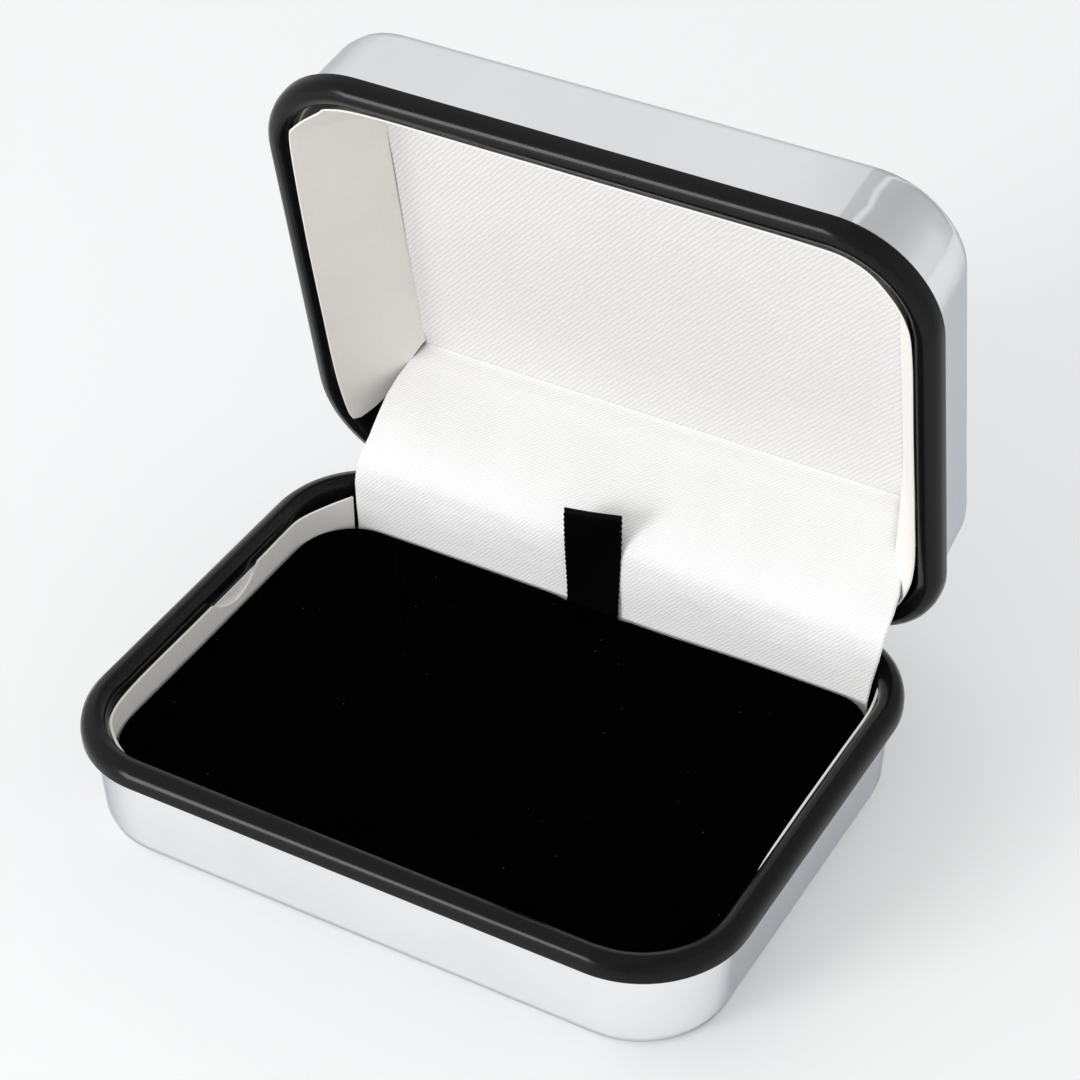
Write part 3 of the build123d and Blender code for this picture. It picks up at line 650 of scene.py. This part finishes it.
# Inner face of each card strip: x and y of its rim edge, x and y of its foot, rim height
LID_CARD = [
    (-38.3, 25.5, -34.0, 19.9), (-39.1, 23.0, -34.05, 18.5), (-39.7, 17.0, -34.1, 14.0),
    (-39.8, 8.0, -34.2, 6.0), (-39.8, -6.0, -34.2, -5.0), (-39.5, -18.0, -34.1, -14.5),
    (-39.1, -22.6, -33.7, -17.8), (-38.3, -24.0, -33.0, -19.3), (-35.2, -27.0, -30.8, -21.5),
    (-33.7, -28.1, -29.5, -22.2), (-28.0, -28.95, -25.0, -22.5), (-10.0, -29.0, -9.0, -22.5),
    (10.0, -29.0, 9.0, -22.5), (28.0, -28.95, 25.0, -22.5), (33.3, -28.2, 28.7, -22.2),
    (37.1, -25.7, 31.4, -20.4), (39.4, -21.8, 33.0, -17.0), (40.05, -17.0, 33.3, -13.0),
    (40.05, -5.0, 33.3, -4.0), (40.05, 8.0, 33.3, 7.0), (40.0, 15.5, 33.3, 13.0),
    (39.6, 19.8, 33.2, 16.0), (38.95, 22.4, 33.1, 17.8), (38.1, 24.6, 33.0, 19.0),
    (37.1, 26.5, 32.9, 19.8),
]
BASE_CARD = [
    (-35.2, 24.9, 14.2), (-37.2, 21.9, 13.9), (-38.9, 18.2, 13.7), (-39.2, 14.5, 13.5),
    (-39.2, 10.0, 13.4), (-39.2, -4.0, 13.3), (-39.2, -17.0, 13.3), (-38.5, -22.8, 13.3),
    (-36.45, -25.85, 13.3), (-32.8, -28.1, 13.0), (-28.0, -28.6, 12.5), (-10.0, -28.6, 12.0),
    (10.0, -28.6, 12.0), (28.0, -28.6, 12.0), (32.8, -28.1, 12.0), (36.45, -25.85, 12.0),
    (38.5, -22.8, 12.0), (39.2, -17.0, 12.0), (39.2, -10.5, 12.2), (39.2, -7.5, 12.9),
    (39.2, 0.0, 13.3), (39.2, 12.0, 13.4), (39.2, 19.0, 13.4), (38.9, 22.0, 13.4),
    (38.3, 24.65, 13.3),
]
NOTCH_Y, NOTCH_HALF, NOTCH_DEEP = 4.0, 5.0, 2.4


def lid_card(material):
    """Cream card strip of the lid, slanted in from the rim, with rounded rear ends."""
    path = spline(LID_CARD, 360)
    rim, foot = path[:, :2], path[:, 2:]
    along = np.r_[0, np.cumsum(np.linalg.norm(np.diff(rim, axis=0), axis=1))]
    from_end = np.minimum(np.minimum(along, along[-1] - along) / 1.0, 1.0)
    rim_depth = LID_CARD_RIM + 1.0 * (1 - np.sqrt(1 - (1 - from_end) ** 2))
    rim_depth += 0.85 * smooth((-25.0 - rim[:, 1]) / 3.0)
    end = smooth((rim[:, 1] - 13.0) / 11.0) * np.where(rim[:, 0] < 0, 1.4, -1.8)
    rows = 30
    grid = np.zeros((rows, len(path), 3))
    for i in range(rows):
        depth = rim_depth + (LID_CARD_FOOT - rim_depth) * i / (rows - 1)
        share = ((depth - LID_CARD_RIM) / (LID_CARD_FOOT - LID_CARD_RIM))[:, None]
        place = rim * (1 - share) + foot * share
        place[:, 1] += end * np.sin(math.pi * np.clip(share[:, 0], 0, 1) ** 0.8) ** 2
        grid[i] = lid_points(np.c_[place, depth])
    points, faces = thick_sheet(grid, LID_CARD_THICKNESS)
    strip = make_piece("lid_card_strip", points, faces, material, "lid", 30)
    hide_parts("lid_inner_liner")
    return strip


def base_card(name, node, material, outward, lower, notched):
    """Card strip of the base; the inner one has the thumb notch in its left side."""
    path = spline(BASE_CARD, 900)
    tangent = np.gradient(path[:, :2], axis=0)
    normal = np.stack([tangent[:, 1], -tangent[:, 0]], -1)
    normal /= np.linalg.norm(normal, axis=1)[:, None]
    place = path[:, :2] + normal * outward
    reach = np.clip(1 - ((path[:, 1] - NOTCH_Y) / NOTCH_HALF) ** 2, 0, 1)
    notch = NOTCH_DEEP * reach * (path[:, 0] < -30) * notched
    height = path[:, 2] - lower - notch
    rows = 20
    grid = np.zeros((rows, len(path), 3))
    for i in range(rows):
        grid[i] = np.c_[place, height + (BASE_CARD_FOOT_Z - height) * i / (rows - 1)]
    points, faces = thick_sheet(grid, BASE_CARD_THICKNESS)
    strip = make_piece(name, points, faces, material, "base", 30)
    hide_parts(node)
    return strip


# Stage

def make_camera():
    """Camera at the photograph's place."""
    data = bpy.data.cameras.new("camera")
    data.lens, data.sensor_width, data.sensor_fit = 103.625, 36.0, "HORIZONTAL"
    data.clip_start, data.clip_end = 0.01, 20.0
    camera = bpy.data.objects.new("camera", data)
    right = Vector((0.87127, 0.49075, -0.00688))
    upward = Vector((-0.30093, 0.54523, 0.78241))
    forward = Vector((-0.38772, 0.67962, -0.62273))
    turn = Matrix((right, upward, -forward)).transposed().to_4x4()
    camera.matrix_world = Matrix.Translation(Vector((0.141250, -0.236331, 0.257142))) @ turn
    bpy.context.scene.collection.objects.link(camera)
    bpy.context.scene.camera = camera


def area_light(name, place, aim, size, power):
    """Soft rectangular lamp."""
    data = bpy.data.lights.new(name, "AREA")
    data.shape = "RECTANGLE"
    data.size, data.size_y = size
    data.energy = power
    lamp = bpy.data.objects.new(name, data)
    lamp.location = place
    direction = Vector(aim) - Vector(place)
    lamp.rotation_euler = direction.to_track_quat("-Z", "Y").to_euler()
    bpy.context.scene.collection.objects.link(lamp)
    return lamp


# Painted reflection: greys that only glossy rays see, by the ray direction's x from left to right
PAINTED_REFLECTION_GREYS = [
    (-1.0, 0.88), (-0.5, 0.78), (-0.34, 0.78), (-0.30, 0.56), (-0.13, 0.53), (-0.09, 0.74),
    (-0.05, 0.74), (0.0, 0.50), (0.25, 0.47), (0.5, 0.53), (0.62, 0.60), (0.72, 0.77), (1.0, 0.82),
]


def make_world():
    """White studio light; glossy rays alone see grey bands to the right, a painted reflection on
    the metal.
    """
    world = bpy.data.worlds.new("studio")
    bpy.context.scene.world = world
    world.use_nodes = True
    tree = world.node_tree
    tree.nodes.clear()
    path = add(tree, "ShaderNodeLightPath")
    seen = calc(tree, "ADD", path.outputs["Is Camera Ray"], path.outputs["Is Glossy Ray"])
    seen = calc(tree, "ADD", seen, path.outputs["Is Transmission Ray"])
    coordinates = add(tree, "ShaderNodeTexCoord")
    parts = add(tree, "ShaderNodeSeparateXYZ", {"Vector": coordinates.outputs["Generated"]})
    to_right = spread(tree, parts.outputs["X"], 0.0, 1.0, -1.0, 1.0)
    bands = add(tree, "ShaderNodeValToRGB", {"Fac": to_right})
    stops = bands.color_ramp.elements
    stops[0].position, stops[1].position = 0.0, 1.0
    for place, _ in PAINTED_REFLECTION_GREYS[1:-1]:
        stops.new((place + 1) / 2)
    for stop, (_, grey) in zip(stops, PAINTED_REFLECTION_GREYS):
        stop.color = (grey, grey * 1.005, grey * 1.02, 1.0)
    painted_reflection = bands.outputs["Color"]
    # Glossy rays get the painted reflection greys, camera and transmission rays get plain white.
    shade = add(tree, "ShaderNodeMix", data_type="RGBA")
    tree.links.new(path.outputs["Is Glossy Ray"], shade.inputs[0])
    shade.inputs[6].default_value = (0.93, 0.935, 0.94, 1.0)
    tree.links.new(painted_reflection, shade.inputs[7])
    lighting = add(tree, "ShaderNodeBackground", {"Color": (0.985, 0.992, 1.0, 1.0)})
    lighting.inputs["Strength"].default_value = 0.9
    shown = add(tree, "ShaderNodeBackground", {"Color": shade.outputs[2], "Strength": 1.0})
    mixed = add(tree, "ShaderNodeMixShader", {0: seen})
    tree.links.new(lighting.outputs[0], mixed.inputs[1])
    tree.links.new(shown.outputs[0], mixed.inputs[2])
    output = add(tree, "ShaderNodeOutputWorld")
    tree.links.new(mixed.outputs[0], output.inputs["Surface"])


def make_stage():
    """Floor, lamp and world."""
    mesh = bpy.data.meshes.new("floor")
    mesh.from_pydata([(-2, -2, 0), (2, -2, 0), (2, 2, 0), (-2, 2, 0)], [], [(0, 1, 2, 3)])
    mesh.materials.append(floor_material())
    floor = bpy.data.objects.new("floor", mesh)
    bpy.context.scene.collection.objects.link(floor)
    area_light("key", (-0.47, -0.95, 0.31), (0, 0, 0.03), (0.42, 0.42), 6.2)
    make_world()
    bpy.context.scene.view_settings.view_transform = "Standard"


def dress():
    """All materials and replaced pieces."""
    round_shading(["base_shell", "lid_shell", "base_bezel", "lid_bezel"])
    set_material(["base_shell", "lid_shell"], chrome_material())
    set_material(["base_bezel", "lid_bezel"], black_frame_material())
    cream = card_material("cream_card", (0.86, 0.835, 0.785), (0.90, 0.875, 0.83), 2.2)
    backing = card_material("backing_card", (0.88, 0.865, 0.83), (0.91, 0.895, 0.86), 1.8)
    set_material(["lid_outer_liner"], backing)
    greyboard = card_material("greyboard", (0.20, 0.19, 0.175), (0.30, 0.285, 0.26), 1.4)
    set_material(["base_floor_card", "rear_liner_card", "lid_floor_card"], greyboard)
    pad_core("insert_board_panel", "insert_board", 0.9, greyboard)
    foam = pad_core("foam_block", "insert_foam", 0.9, foam_material())
    cut_slits(foam, FOAM_SLIT_MARGIN)
    plated = metal_material("plated_steel", (0.55, 0.54, 0.52), (0.68, 0.67, 0.65), (0.25, 0.4))
    set_material(["hinge_base_leaf", "hinge_lid_leaf", "hinge_pin"], plated)
    set_material(["base_leaf_rivets", "lid_leaf_rivets"], plated)
    spring = metal_material("spring_steel", (0.25, 0.26, 0.28), (0.38, 0.39, 0.41), (0.2, 0.35))
    set_material(["hinge_spring"], spring)
    tape = card_material("paper_tape", (0.62, 0.55, 0.42), (0.70, 0.63, 0.50), 3.0)
    set_material(["ribbon_tape"], tape)
    velvet_pad(velvet_material())
    pull_ribbon(black_satin_material())
    turn, low, high = math.radians(42), (0.80, 0.795, 0.795), (0.935, 0.93, 0.925)
    satin_bridge(white_satin_material("white_satin_bridge", 0.42, turn, low, high))
    # The panel is the bridge's satin cloth with a darker tint: painted shade of the satin inside
    # the lid.
    low, high = (0.685, 0.667, 0.662), (0.80, 0.787, 0.781)
    lid_satin(white_satin_material("white_satin_panel_painted_shade", 0.55, turn, low, high))
    lid_card(cream)
    base_card("base_card_strip", "base_inner_liner", cream, 0.0, 0.0, 1.0)
    base_card("base_card_backing", "base_outer_liner", backing, 0.34, 0.75, 0.0)


make_camera()
make_stage()
dress()
